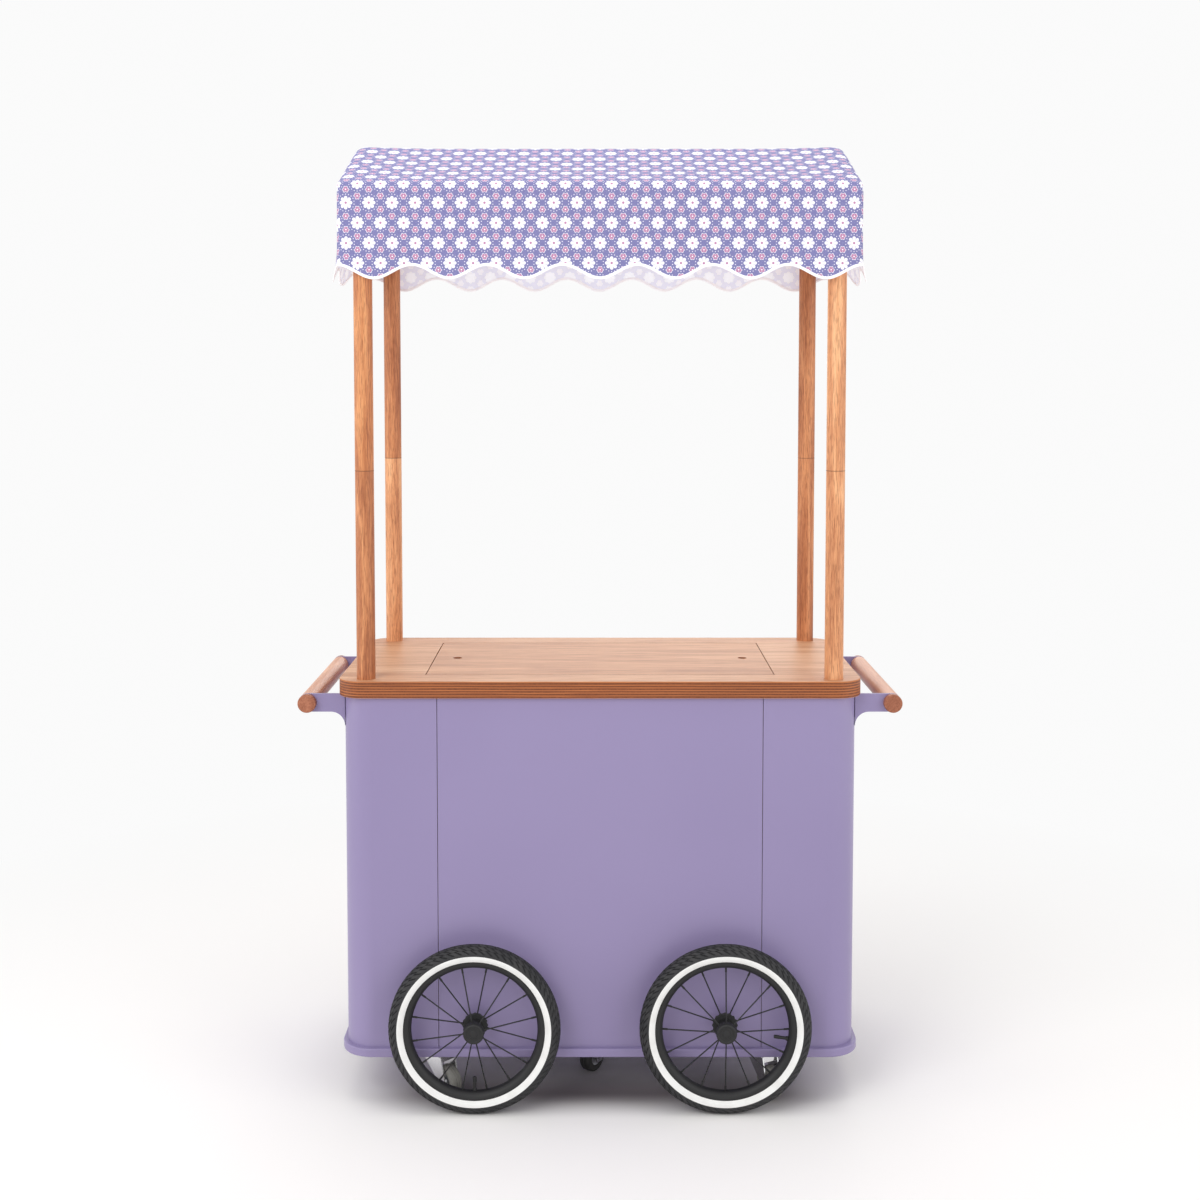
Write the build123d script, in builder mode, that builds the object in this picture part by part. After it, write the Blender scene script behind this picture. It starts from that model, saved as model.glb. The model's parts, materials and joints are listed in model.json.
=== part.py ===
from build123d import *
import os
from math import cos, hypot, pi, radians, sin

os.makedirs("parts", exist_ok=True)

# Promotional cart. X runs to the cart's right seen from the front, Y to the back, Z up.
# The origin is on the floor, under the middle of the cart. All sizes are in millimetres.

# Counter board and its lift-out lid
counter_length, counter_depth, counter_thickness = 1220, 600, 40
counter_top = 1000
counter_corner = 60
counter_under = counter_top - counter_thickness
lid_length, lid_depth = 820, 430
saw_gap = 2
finger_hole_radius, finger_hole_x = 11, 355
lid_rest_gap = 0.3
ledge_height, ledge_lip, ledge_width = 20, 15, 40

# Cabinet
body_length, body_depth, body_corner = 1200, 580, 70
skin = 9
base_thickness, base_corner, base_edge = 20, 75, 3
base_under = 111
base_top = base_under + base_thickness
body_height = counter_under - base_top
seam_x, seam_gap = 378, 1.5
front_y = body_depth / 2
wall_y = front_y - skin
wall_x = body_length / 2 - skin
sill_top = 415
door_thickness, door_gap = 18, 3
door_edge = door_thickness / 2
door_hole_radius, door_hole_inset = 12.5, 40
pivot_radius, pivot_bore_radius, pivot_depth = 4, 4.05, 30
shelf_thickness, shelf_top, shelf_clearance, shelf_corner = 18, 618, 3, 60
batten = 20
jamb_width, jamb_depth = 40, 30
joint_gap = 0.3

# Posts, each in a lower and an upper length
post_x, post_y, post_radius = 545, 260, 21.75
post_joint, post_top = 1485, 2096
dowel_radius, dowel_bore_radius, dowel_reach = 8, 8.06, 60
bolt_radius, bolt_reach, nut_radius, nut_height = 6, 58, 12, 8

# Canopy frame and cover
canopy_length, canopy_depth = 1200, 584
eaves, ridge = 2145, 2264
cloth = 2
ridge_round = 30
frame_board = 38
frame_height = 40
frame_margin = 10
gable_board, gable_inset = 20, 6
ridge_pole_radius, ridge_pole_gap = 13, 10
side_rail_width, side_rail_height, side_rail_under = 40, 60, 1982
hem_crest, hem_trough = 1955, 1924
binding_height, binding_thickness = 7, 3
front_scallops, side_scallops = 7, 3

# Handles at the two ends
rod_x, rod_z, rod_radius = 686, 938.5, 21.5
bracket_y, bracket_thickness = 235, 6
cap_length, cap_edge = 15, 2
tenon_radius, tenon_reach = 9, 9
gusset_radius = 33
foot_thickness, foot_width, foot_height = 4, 50, 58
plate_inset = 1.5

# Large spoked wheels
wheel_x, wheel_y, wheel_radius = 290, 345, 199
tyre_section = 21.5
rim_inner, rim_outer, rim_width = 145.5, 160, 34
hub_inner_face, hub_outer_face = -43, 35
flange_place, flange_thickness, flange_radius = -20, 6, 30.5
barrel_radius, cap_radius, cap_start = 16, 24, 15
cap_face_rim, cap_face_slope, cap_face_thickness = 4, 3, 5
axle_pocket_clearance, axle_pocket_depth = 1, 12
axle_radius, axle_bore_radius = 8, 8.05
axle_head_radius, axle_head_thickness, axle_head_inset = 12, 8, 7
axle_collar_radius, axle_collar, axle_nut, axle_end = 14, 5, 10, 12
spoke_count, spoke_radius, spoke_seat = 16, 1.3, 3

# Swivel castors
castor_x, castor_y, centre_castor_y = 385, 235, -88
castor_radius, castor_width, castor_trail, castor_round = 37.5, 30, 35, 5
castor_plate_size, castor_plate_thickness, castor_plate_corner = 80, 4, 6
bowl_radius, bowl_height, bowl_gap = 26, 12, 0.5
fork_leg, fork_gap, fork_nose, fork_skirt = 3, 38, 8, 11
kingpin_radius, kingpin_bore_radius = 6, 6.05
pin_radius, pin_bore_radius, pin_end = 4, 4.05, 4

corners = {
    "front_left": (-1, -1),
    "front_right": (1, -1),
    "rear_left": (-1, 1),
    "rear_right": (1, 1),
}


def save(name, label):
    name.part.label = label
    export_step(name.part, f"parts/{label}.step")


def draw_hem(length, scallops, lift):
    """Draws a hem from end to end, high at both ends, as half waves that are level at each crest and trough."""
    half_wave = length / scallops / 2
    levels = (hem_crest + lift, hem_trough + lift)
    for i in range(2 * scallops):
        start = -length / 2 + i * half_wave
        Bezier(
            (start, levels[i % 2]),
            (start + half_wave / 2, levels[i % 2]),
            (start + half_wave / 2, levels[1 - i % 2]),
            (start + half_wave, levels[1 - i % 2]),
        )


def tent_points(inset, foot, reach):
    """The gable outline, moved in by a thickness of cloth, from the foot up to the ridge and down again."""
    slope = (ridge - eaves) / (canopy_depth / 2)
    drop = inset * hypot(1, slope)
    edge = ridge - drop - slope * reach
    return [(-reach, foot), (-reach, edge), (0, ridge - drop), (reach, edge), (reach, foot)]


def tent_face(inset, foot, reach):
    """The gable outline as a face of the current sketch, with its ridge rounded."""
    with BuildLine() as outline:
        Polyline(*tent_points(inset, foot, reach), close=True)
    make_face(outline.edges())
    fillet(vertices().sort_by(Axis.Y)[-1], ridge_round - inset)


# Base board under the cabinet
with BuildPart() as base_plate:
    with BuildSketch(Plane.XY.offset(base_under)):
        RectangleRounded(counter_length, counter_depth, base_corner)
    extrude(amount=base_thickness)
    fillet(base_plate.faces().sort_by(Axis.Z)[0].edges(), base_edge)
    fillet(base_plate.faces().sort_by(Axis.Z)[-1].edges(), base_edge)
save(base_plate, "base_plate")

# Bent end shells, each from its front seam round the end to its rear seam
for side, label in ((-1, "left_end_shell"), (1, "right_end_shell")):
    with BuildPart() as end_shell:
        with BuildSketch(Plane.XY.offset(base_top)):
            RectangleRounded(body_length, body_depth, body_corner)
            RectangleRounded(
                body_length - 2 * skin, body_depth - 2 * skin, body_corner - skin, mode=Mode.SUBTRACT
            )
            kept = body_length / 2 - seam_x - seam_gap / 2
            with Locations((side * (body_length / 2 - kept / 2), 0)):
                Rectangle(kept, body_depth, mode=Mode.INTERSECT)
        extrude(amount=body_height)
    save(end_shell, label)

# Front panel and the low rear panel, bored for the axles of the large wheels
panel_width = 2 * seam_x - seam_gap
for side, label, height in ((-1, "front_panel", body_height), (1, "rear_panel", sill_top - base_top)):
    with BuildPart() as panel:
        with BuildSketch(Plane.XY.offset(base_top)):
            with Locations((0, side * (front_y - skin / 2))):
                Rectangle(panel_width, skin)
        extrude(amount=height)
        with Locations(*[(x, side * front_y, wheel_radius) for x in (-wheel_x, wheel_x)]):
            Cylinder(axle_radius, 4 * skin, rotation=(90, 0, 0), mode=Mode.SUBTRACT)
    save(panel, label)

# Rear doors, each with a round hinge edge that turns on pins at its top and bottom
door_bottom = sill_top + door_gap
door_height = counter_under - door_gap - door_bottom
door_y = front_y - door_thickness / 2
pivot_x = seam_x - seam_gap / 2 - door_edge
for side, label in ((-1, "left_door"), (1, "right_door")):
    with BuildPart() as door:
        with BuildSketch(Plane.XY.offset(door_bottom)):
            with Locations((side * (pivot_x + door_gap / 2) / 2, door_y)):
                Rectangle(pivot_x - door_gap / 2, door_thickness)
            with Locations((side * pivot_x, door_y)):
                Circle(door_edge)
        extrude(amount=door_height)
        with Locations((side * door_hole_inset, door_y, counter_under - 2 * door_hole_inset)):
            Cylinder(door_hole_radius, 2 * door_thickness, rotation=(90, 0, 0), mode=Mode.SUBTRACT)
        with Locations(
            (side * pivot_x, door_y, door_bottom + pivot_depth / 2),
            (side * pivot_x, door_y, door_bottom + door_height - pivot_depth / 2),
        ):
            Cylinder(pivot_bore_radius, pivot_depth, mode=Mode.SUBTRACT)
    save(door, label)

# Pivot pins of the doors, standing in the sill and hanging from the counter
pin_length = door_gap + pivot_depth - 2
with BuildPart() as door_pivots:
    with Locations(
        *[
            (side * pivot_x, door_y, height)
            for side in (-1, 1)
            for height in (sill_top + pin_length / 2, counter_under - pin_length / 2)
        ]
    ):
        Cylinder(pivot_radius, pin_length)
save(door_pivots, "door_pivots")

# Battens behind the seams, the door sill, and the cleats under the shelf
front_batten_height = counter_under - ledge_height - base_top
jamb_x = seam_x + seam_gap + jamb_width / 2
sill_length = 2 * (jamb_x - jamb_width / 2 - joint_gap)
with BuildPart() as inner_battens:
    with Locations(
        *[(side * seam_x, -wall_y + batten / 2, base_top + front_batten_height / 2) for side in (-1, 1)]
    ):
        Box(jamb_width, batten, front_batten_height)
    with Locations(
        *[(side * jamb_x, wall_y - jamb_depth / 2, base_top + body_height / 2) for side in (-1, 1)]
    ):
        Box(jamb_width, jamb_depth, body_height)
    with Locations((0, wall_y - batten / 2, sill_top - batten / 2)):
        Box(sill_length, batten, batten)
    with Locations(
        *[(side * (wall_x - batten / 2), 0, shelf_top - shelf_thickness - batten / 2) for side in (-1, 1)]
    ):
        Box(batten, body_depth - 4 * body_corner, batten)
save(inner_battens, "inner_battens")

# Shelf, clear of the battens in front and behind
shelf_front = -wall_y + batten + shelf_clearance
shelf_back = wall_y - jamb_depth - shelf_clearance
with BuildPart() as shelf:
    with BuildSketch(Plane.XY.offset(shelf_top - shelf_thickness)):
        with Locations((0, (shelf_front + shelf_back) / 2)):
            RectangleRounded(2 * (wall_x - shelf_clearance), shelf_back - shelf_front, shelf_corner)
    extrude(amount=shelf_thickness)
save(shelf, "shelf")

# Counter board, cut out for the lid
cut_length, cut_depth = lid_length + 2 * saw_gap, lid_depth + 2 * saw_gap
with BuildPart() as countertop:
    with BuildSketch(Plane.XY.offset(counter_under)):
        RectangleRounded(counter_length, counter_depth, counter_corner)
        Rectangle(cut_length, cut_depth, mode=Mode.SUBTRACT)
        with GridLocations(2 * post_x, 2 * post_y, 2, 2):
            Circle(bolt_radius, mode=Mode.SUBTRACT)
    extrude(amount=counter_thickness)
    top_rim = countertop.faces().sort_by(Axis.Z)[-1].outer_wire().edges()
    bottom_rim = countertop.faces().sort_by(Axis.Z)[0].outer_wire().edges()
    fillet(top_rim + bottom_rim, base_edge)
save(countertop, "countertop")

# Lift-out lid with two finger holes
with BuildPart() as counter_lid:
    with BuildSketch(Plane.XY.offset(counter_under + lid_rest_gap)):
        Rectangle(lid_length, lid_depth)
        with Locations((-finger_hole_x, 0), (finger_hole_x, 0)):
            Circle(finger_hole_radius, mode=Mode.SUBTRACT)
    extrude(amount=counter_thickness - lid_rest_gap)
save(counter_lid, "counter_lid")

# Ledge under the counter that carries the lid
ledge_z = counter_under - ledge_height / 2
long_ledge_y = cut_depth / 2 - ledge_lip + ledge_width / 2
short_ledge_x = cut_length / 2 - ledge_lip + ledge_width / 2
short_ledge_length = 2 * (long_ledge_y - ledge_width / 2 - joint_gap)
with BuildPart() as lid_ledge:
    with Locations((0, -long_ledge_y, ledge_z), (0, long_ledge_y, ledge_z)):
        Box(2 * short_ledge_x + ledge_width, ledge_width, ledge_height)
    with Locations((-short_ledge_x, 0, ledge_z), (short_ledge_x, 0, ledge_z)):
        Box(ledge_width, short_ledge_length, ledge_height)
save(lid_ledge, "lid_ledge")

# Posts: a lower length on the counter, an upper length over a steel dowel
for corner, (x_side, y_side) in corners.items():
    place = (x_side * post_x, y_side * post_y)
    with BuildPart() as lower_post:
        with BuildSketch(Plane.XY.offset(counter_top)):
            with Locations(place):
                Circle(post_radius)
        extrude(amount=post_joint - counter_top - joint_gap)
        with Locations((*place, counter_top + (bolt_reach + nut_height) / 2)):
            Cylinder(bolt_radius, bolt_reach + nut_height, mode=Mode.SUBTRACT)
        with Locations((*place, post_joint - dowel_reach / 2)):
            Cylinder(dowel_radius, dowel_reach, mode=Mode.SUBTRACT)
    save(lower_post, f"{corner}_lower_post")
    with BuildPart() as upper_post:
        with BuildSketch(Plane.XY.offset(post_joint + joint_gap)):
            with Locations(place):
                Circle(post_radius)
        extrude(amount=post_top - post_joint - joint_gap)
        with Locations((*place, post_joint + (dowel_reach + 2) / 2)):
            Cylinder(dowel_bore_radius, dowel_reach + 2, mode=Mode.SUBTRACT)
    save(upper_post, f"{corner}_upper_post")

with BuildPart() as post_dowels:
    with BuildSketch(Plane.XY.offset(post_joint - dowel_reach)):
        with GridLocations(2 * post_x, 2 * post_y, 2, 2):
            Circle(dowel_radius)
    extrude(amount=2 * dowel_reach)
save(post_dowels, "post_dowels")

# Studs that hold the lower posts, each with a nut under the counter
with BuildPart() as post_bolts:
    with BuildSketch(Plane.XY.offset(counter_under - nut_height)):
        with GridLocations(2 * post_x, 2 * post_y, 2, 2):
            RegularPolygon(nut_radius, 6)
    extrude(amount=nut_height)
    with BuildSketch(Plane.XY.offset(counter_under - nut_height)):
        with GridLocations(2 * post_x, 2 * post_y, 2, 2):
            Circle(bolt_radius)
    extrude(amount=nut_height + counter_thickness + bolt_reach)
save(post_bolts, "post_bolts")

# Canopy frame: boards on the post tops, and rails between the posts of each end
long_board_y = canopy_depth / 2 - frame_margin - frame_board / 2
board_x = canopy_length / 2 - frame_margin - frame_board / 2
short_board_length = 2 * (long_board_y - frame_board / 2 - joint_gap)
with BuildPart() as canopy_rails:
    board_z = post_top + frame_height / 2
    with Locations((0, -long_board_y, board_z), (0, long_board_y, board_z)):
        Box(canopy_length - 2 * frame_margin, frame_board, frame_height)
    with Locations((-board_x, 0, board_z), (board_x, 0, board_z)):
        Box(frame_board, short_board_length, frame_height)
    rail_z = side_rail_under + side_rail_height / 2
    with Locations((-post_x, 0, rail_z), (post_x, 0, rail_z)):
        Box(side_rail_width, 2 * (post_y - post_radius / 2), side_rail_height)
    with Locations(*[(x * post_x, y * post_y, rail_z) for x, y in corners.values()]):
        Cylinder(post_radius, 2 * side_rail_height, mode=Mode.SUBTRACT)
save(canopy_rails, "canopy_rails")

gable_foot = post_top + frame_height
with BuildPart() as gable_boards:
    for start in (-canopy_length / 2 + frame_margin, canopy_length / 2 - frame_margin - gable_board):
        with BuildSketch(Plane.YZ.offset(start)):
            tent_face(cloth + gable_inset, gable_foot, canopy_depth / 2 - frame_margin)
        extrude(amount=gable_board)
save(gable_boards, "gable_boards")

# Ridge pole between the gable boards, under the rounded ridge of the cover
ridge_slope = (ridge - eaves) / (canopy_depth / 2)
rounded_drop = ridge_round * (hypot(1, ridge_slope) - 1)
pole_z = ridge - cloth * hypot(1, ridge_slope) - rounded_drop - ridge_pole_radius - ridge_pole_gap
with BuildPart() as ridge_pole:
    with BuildSketch(Plane.YZ.offset(-canopy_length / 2 + frame_margin + gable_board)):
        with Locations((0, pole_z)):
            Circle(ridge_pole_radius)
    extrude(amount=canopy_length - 2 * (frame_margin + gable_board))
save(ridge_pole, "ridge_pole")

# Canopy cover: a roof panel and four valances with a scalloped hem, sewn at their edges
cloth_drop = cloth * hypot(1, ridge_slope)
with BuildPart() as roof_panel:
    with BuildSketch(Plane.YZ.offset(-canopy_length / 2)):
        tent_face(0, eaves - cloth_drop, canopy_depth / 2)
        with BuildSketch(mode=Mode.PRIVATE) as under_face:
            tent_face(cloth, eaves - 2 * cloth_drop, canopy_depth / 2)
        add(under_face.sketch, mode=Mode.SUBTRACT)
    extrude(amount=canopy_length)
save(roof_panel, "roof_panel")

valance_top = eaves - cloth_drop
hem_start = hem_crest + binding_height
for label, level in (
    ("front_valance", canopy_depth / 2 - cloth),
    ("rear_valance", -canopy_depth / 2),
):
    with BuildPart() as valance:
        with BuildSketch(Plane.XZ.offset(level)):
            with BuildLine():
                draw_hem(canopy_length, front_scallops, binding_height)
                Polyline(
                    (-canopy_length / 2, hem_start),
                    (-canopy_length / 2, valance_top),
                    (canopy_length / 2, valance_top),
                    (canopy_length / 2, hem_start),
                )
            make_face()
        extrude(amount=cloth)
    save(valance, label)

side_hem_length = canopy_depth - 2 * cloth
for label, level in (
    ("left_valance", -canopy_length / 2),
    ("right_valance", canopy_length / 2 - cloth),
):
    with BuildPart() as valance:
        with BuildSketch(Plane.YZ.offset(level)):
            tent_face(cloth, hem_trough, side_hem_length / 2)
            with BuildLine():
                draw_hem(side_hem_length, side_scallops, binding_height)
                Polyline(
                    (-side_hem_length / 2, hem_start),
                    (-side_hem_length / 2, hem_trough - binding_height),
                    (side_hem_length / 2, hem_trough - binding_height),
                    (side_hem_length / 2, hem_start),
                )
            make_face(mode=Mode.SUBTRACT)
        extrude(amount=cloth)
    save(valance, label)

# White binding folded over the whole hem
proud = (binding_thickness - cloth) / 2
with BuildPart() as hem_binding:
    for plane, length, scallops in (
        (Plane.XZ.offset(canopy_depth / 2 - cloth - proud), canopy_length, front_scallops),
        (Plane.XZ.offset(-canopy_depth / 2 - proud), canopy_length, front_scallops),
        (Plane.YZ.offset(-canopy_length / 2 - proud), side_hem_length, side_scallops),
        (Plane.YZ.offset(canopy_length / 2 - cloth - proud), side_hem_length, side_scallops),
    ):
        with BuildSketch(plane):
            with BuildLine():
                draw_hem(length, scallops, 0)
                draw_hem(length, scallops, binding_height)
                Line((-length / 2, hem_crest), (-length / 2, hem_start))
                Line((length / 2, hem_crest), (length / 2, hem_start))
            make_face()
        extrude(amount=binding_thickness)
save(hem_binding, "hem_binding")

# Steel brackets, each a plate with a concave gusset and a foot on the end of the cabinet
plate_end = body_length / 2 - plate_inset
bracket_under = rod_z - rod_radius
with BuildPart() as handle_brackets:
    for x_side, y_side in corners.values():
        start = bracket_y if y_side < 0 else -bracket_y - bracket_thickness
        with BuildSketch(Plane.XZ.offset(start)):
            with BuildLine():
                top = Line((x_side * plate_end, rod_z + rod_radius), (x_side * rod_x, rod_z + rod_radius))
                end = ThreePointArc(
                    top @ 1, (x_side * (rod_x + rod_radius), rod_z), (x_side * rod_x, bracket_under)
                )
                under = Line(end @ 1, (x_side * (plate_end + gusset_radius), bracket_under))
                gusset = ThreePointArc(
                    under @ 1,
                    (
                        x_side * (plate_end + gusset_radius * (1 - sin(pi / 4))),
                        bracket_under - gusset_radius * (1 - cos(pi / 4)),
                    ),
                    (x_side * plate_end, bracket_under - gusset_radius),
                )
                Line(gusset @ 1, top @ 0)
            make_face()
            with Locations((x_side * rod_x, rod_z)):
                Circle(tenon_radius, mode=Mode.SUBTRACT)
        extrude(amount=bracket_thickness)
        with Locations(
            (
                x_side * (body_length / 2 + foot_thickness / 2),
                y_side * (bracket_y - foot_width / 2),
                rod_z + rod_radius - foot_height / 2,
            )
        ):
            Box(foot_thickness, foot_width, foot_height)
save(handle_brackets, "handle_brackets")

# Wooden push rods between the brackets, with a tenon through each bracket into an end cap
for side, label in ((-1, "left_handle_rod"), (1, "right_handle_rod")):
    with BuildPart() as handle_rod:
        with Locations((side * rod_x, 0, rod_z)):
            Cylinder(rod_radius, 2 * bracket_y, rotation=(90, 0, 0))
            Cylinder(
                tenon_radius, 2 * (bracket_y + bracket_thickness + tenon_reach), rotation=(90, 0, 0)
            )
    save(handle_rod, label)

cap_start_y = bracket_y + bracket_thickness
with BuildPart() as handle_end_caps:
    with Locations(
        *[(x * rod_x, y * (cap_start_y + cap_length / 2), rod_z) for x, y in corners.values()]
    ):
        Cylinder(rod_radius, cap_length, rotation=(90, 0, 0))
    fillet(handle_end_caps.edges().filter_by(GeomType.CIRCLE).group_by(Axis.Y)[0], cap_edge)
    fillet(handle_end_caps.edges().filter_by(GeomType.CIRCLE).group_by(Axis.Y)[-1], cap_edge)
    with Locations(
        *[(x * rod_x, y * (cap_start_y + tenon_reach / 2), rod_z) for x, y in corners.values()]
    ):
        Cylinder(tenon_radius, tenon_reach, rotation=(90, 0, 0), mode=Mode.SUBTRACT)
save(handle_end_caps, "handle_end_caps")

# Large wheels. A profile is drawn as radius and distance outward from the wheel's middle plane.
pocket_face = hub_outer_face - cap_face_thickness
pocket_radius = axle_head_radius + axle_pocket_clearance
for corner, (x_side, y_side) in corners.items():
    middle = (x_side * wheel_x, y_side * wheel_y, wheel_radius)
    profile_plane = Plane(origin=middle, x_dir=(1, 0, 0), z_dir=(0, 0, y_side))
    spin = Axis(middle, (0, 1, 0))
    with BuildPart() as tyre:
        with BuildSketch(profile_plane):
            with Locations((wheel_radius - tyre_section, 0)):
                Circle(tyre_section)
            with Locations((rim_outer / 2, 0)):
                Rectangle(rim_outer, 4 * tyre_section, mode=Mode.SUBTRACT)
        revolve(axis=spin)
    save(tyre, f"{corner}_tyre")
    with BuildPart() as rim:
        with BuildSketch(profile_plane):
            with Locations(((rim_inner + rim_outer) / 2, 0)):
                Rectangle(rim_outer - rim_inner, rim_width)
            inner_corners = vertices().group_by(Axis.X)[0]
            chamfer(inner_corners, (rim_outer - rim_inner) / 2)
        revolve(axis=spin)
    save(rim, f"{corner}_rim")
    with BuildPart() as spoked_hub:
        with BuildSketch(profile_plane):
            with BuildLine():
                Polyline(
                    (axle_bore_radius, hub_inner_face),
                    (barrel_radius, hub_inner_face),
                    (barrel_radius, flange_place - flange_thickness / 2),
                    (flange_radius, flange_place - flange_thickness / 2),
                    (flange_radius, flange_place + flange_thickness / 2),
                    (barrel_radius, flange_place + flange_thickness / 2),
                    (barrel_radius, cap_start),
                    (cap_radius, cap_start),
                    (cap_radius, hub_outer_face - cap_face_slope),
                    (cap_radius - cap_face_rim, hub_outer_face),
                    (0, hub_outer_face),
                    (0, pocket_face),
                    (pocket_radius, pocket_face),
                    (pocket_radius, pocket_face - axle_pocket_depth),
                    (axle_bore_radius, pocket_face - axle_pocket_depth),
                    close=True,
                )
            make_face()
        revolve(axis=spin)
        for i in range(spoke_count):
            angle = 2 * pi * (i + (0.5 if x_side < 0 else 0)) / spoke_count
            foot_out = flange_place if i % 2 else cap_start + spoke_seat
            foot_radius = (flange_radius if i % 2 else cap_radius) - spoke_seat
            foot = Vector(
                middle[0] + foot_radius * cos(angle),
                middle[1] + y_side * foot_out,
                middle[2] + foot_radius * sin(angle),
            )
            head = Vector(
                middle[0] + (rim_inner - 0.2) * cos(angle),
                middle[1],
                middle[2] + (rim_inner - 0.2) * sin(angle),
            )
            with BuildSketch(Plane(origin=foot, z_dir=head - foot)):
                Circle(spoke_radius)
            extrude(amount=(head - foot).length)
    save(spoked_hub, f"{corner}_spoked_hub")

# Fixed stub axles: an outer collar, the spindle with its head, and a nut inside the cabinet
head_place = wheel_y + hub_outer_face - axle_head_inset
with BuildPart() as wheel_axles:
    for x_side, y_side in corners.values():
        for radius, start, stop in (
            (axle_collar_radius, front_y, front_y + axle_collar),
            (axle_radius, wall_y - axle_end, head_place),
            (axle_head_radius, head_place - axle_head_thickness, head_place),
            (2 * axle_radius, wall_y - axle_nut, wall_y),
        ):
            with Locations((x_side * wheel_x, y_side * (start + stop) / 2, wheel_radius)):
                Cylinder(radius, stop - start, rotation=(90, 0, 0))
save(wheel_axles, "wheel_axles")

# Castors: name, place and the way that the wheel trails, in degrees from straight forward
castors = {
    "front_left": (-castor_x, -castor_y, 46),
    "front_right": (castor_x, -castor_y, 30),
    "rear_left": (-castor_x, castor_y, -20),
    "rear_right": (castor_x, castor_y, 28),
    "centre": (0, centre_castor_y, -33),
}
plate_under = base_under - castor_plate_thickness
bowl_top = plate_under - bowl_gap
with BuildPart() as castor_plates:
    for x, y, turn in castors.values():
        with BuildSketch(Plane((x, y, plate_under))):
            RectangleRounded(castor_plate_size, castor_plate_size, castor_plate_corner)
        extrude(amount=castor_plate_thickness)
        with Locations((x, y, plate_under - bowl_height / 2)):
            Cylinder(kingpin_radius, bowl_height)
save(castor_plates, "castor_plates")

leg_top = bowl_top - bowl_height + fork_leg
fork_outline = [
    (4 - bowl_radius, leg_top),
    (bowl_radius + fork_nose, leg_top),
    (castor_trail + 14, castor_radius),
    (castor_trail + 9, castor_radius - 12),
    (castor_trail - 9, castor_radius - 12),
    (castor_trail - 18, castor_radius + 8),
    (4 - bowl_radius, leg_top - 14),
]
for corner, (x, y, turn) in castors.items():
    across = (cos(radians(turn)), sin(radians(turn)), 0)
    upright = Plane(origin=(x, y, 0), x_dir=across, z_dir=(0, 0, 1))
    side_on = Plane(
        origin=(x, y, 0),
        x_dir=(sin(radians(turn)), -cos(radians(turn)), 0),
        z_dir=(-cos(radians(turn)), -sin(radians(turn)), 0),
    )
    with BuildPart(upright) as fork:
        with Locations((0, 0, bowl_top - bowl_height / 2)):
            Cylinder(bowl_radius, bowl_height)
        for offset_out in (-fork_gap / 2 - fork_leg, fork_gap / 2):
            with BuildSketch(side_on.offset(offset_out)):
                with BuildLine():
                    Polyline(*fork_outline, close=True)
                make_face()
            extrude(amount=fork_leg)
        with BuildSketch(side_on.offset(-fork_gap / 2)):
            with Locations((fork_nose / 2, leg_top - fork_leg / 2)):
                Rectangle(2 * bowl_radius, fork_leg)
            with Locations((fork_nose / 2 + bowl_radius - fork_leg / 2, leg_top - (fork_leg + fork_skirt) / 2)):
                Rectangle(fork_leg, fork_leg + fork_skirt)
        extrude(amount=fork_gap)
        with BuildSketch(side_on.offset(-fork_gap / 2 - fork_leg - pin_end)):
            with Locations((castor_trail, castor_radius)):
                Circle(pin_radius)
        extrude(amount=fork_gap + 2 * (fork_leg + pin_end))
        with Locations((0, 0, bowl_top - bowl_height / 2)):
            Cylinder(kingpin_bore_radius, 2 * bowl_height, mode=Mode.SUBTRACT)
    save(fork, f"{corner}_castor_fork")
    with BuildPart() as castor_wheel:
        with BuildSketch(side_on.offset(-castor_width / 2)):
            with Locations((castor_trail, castor_radius)):
                Circle(castor_radius)
                Circle(pin_bore_radius, mode=Mode.SUBTRACT)
        extrude(amount=castor_width)
        outer_edges = castor_wheel.edges().filter_by(GeomType.CIRCLE).sort_by(SortBy.RADIUS)[-2:]
        fillet(outer_edges, castor_round)
    save(castor_wheel, f"{corner}_castor_wheel")
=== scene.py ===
import json
from math import atan2, cos, degrees, hypot, pi, radians, sin, sqrt

import bmesh
import bpy
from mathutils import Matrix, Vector, noise


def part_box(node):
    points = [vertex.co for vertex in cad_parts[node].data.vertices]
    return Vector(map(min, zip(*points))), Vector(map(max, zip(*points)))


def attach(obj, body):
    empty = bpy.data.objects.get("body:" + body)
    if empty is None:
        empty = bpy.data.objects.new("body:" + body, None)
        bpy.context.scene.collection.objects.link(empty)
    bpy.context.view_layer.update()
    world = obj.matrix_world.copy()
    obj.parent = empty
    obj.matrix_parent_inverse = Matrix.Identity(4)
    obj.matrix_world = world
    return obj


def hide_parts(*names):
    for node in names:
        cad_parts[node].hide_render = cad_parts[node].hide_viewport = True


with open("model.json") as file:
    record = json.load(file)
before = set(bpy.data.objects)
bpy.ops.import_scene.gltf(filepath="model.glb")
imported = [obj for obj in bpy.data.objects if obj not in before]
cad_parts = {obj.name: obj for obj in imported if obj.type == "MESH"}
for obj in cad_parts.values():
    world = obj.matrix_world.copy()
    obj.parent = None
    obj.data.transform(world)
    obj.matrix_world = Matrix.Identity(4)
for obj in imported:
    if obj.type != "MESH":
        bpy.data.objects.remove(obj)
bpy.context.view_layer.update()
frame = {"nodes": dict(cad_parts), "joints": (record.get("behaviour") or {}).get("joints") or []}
print("frame loaded,", len(frame["nodes"]), "nodes")


def srgb(red, green, blue):
    # an 8 bit screen colour as the linear values that a shader takes
    def linear(c):
        c /= 255
        return c / 12.92 if c <= 0.04045 else ((c + 0.055) / 1.055) ** 2.4

    return (linear(red), linear(green), linear(blue), 1.0)


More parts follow.
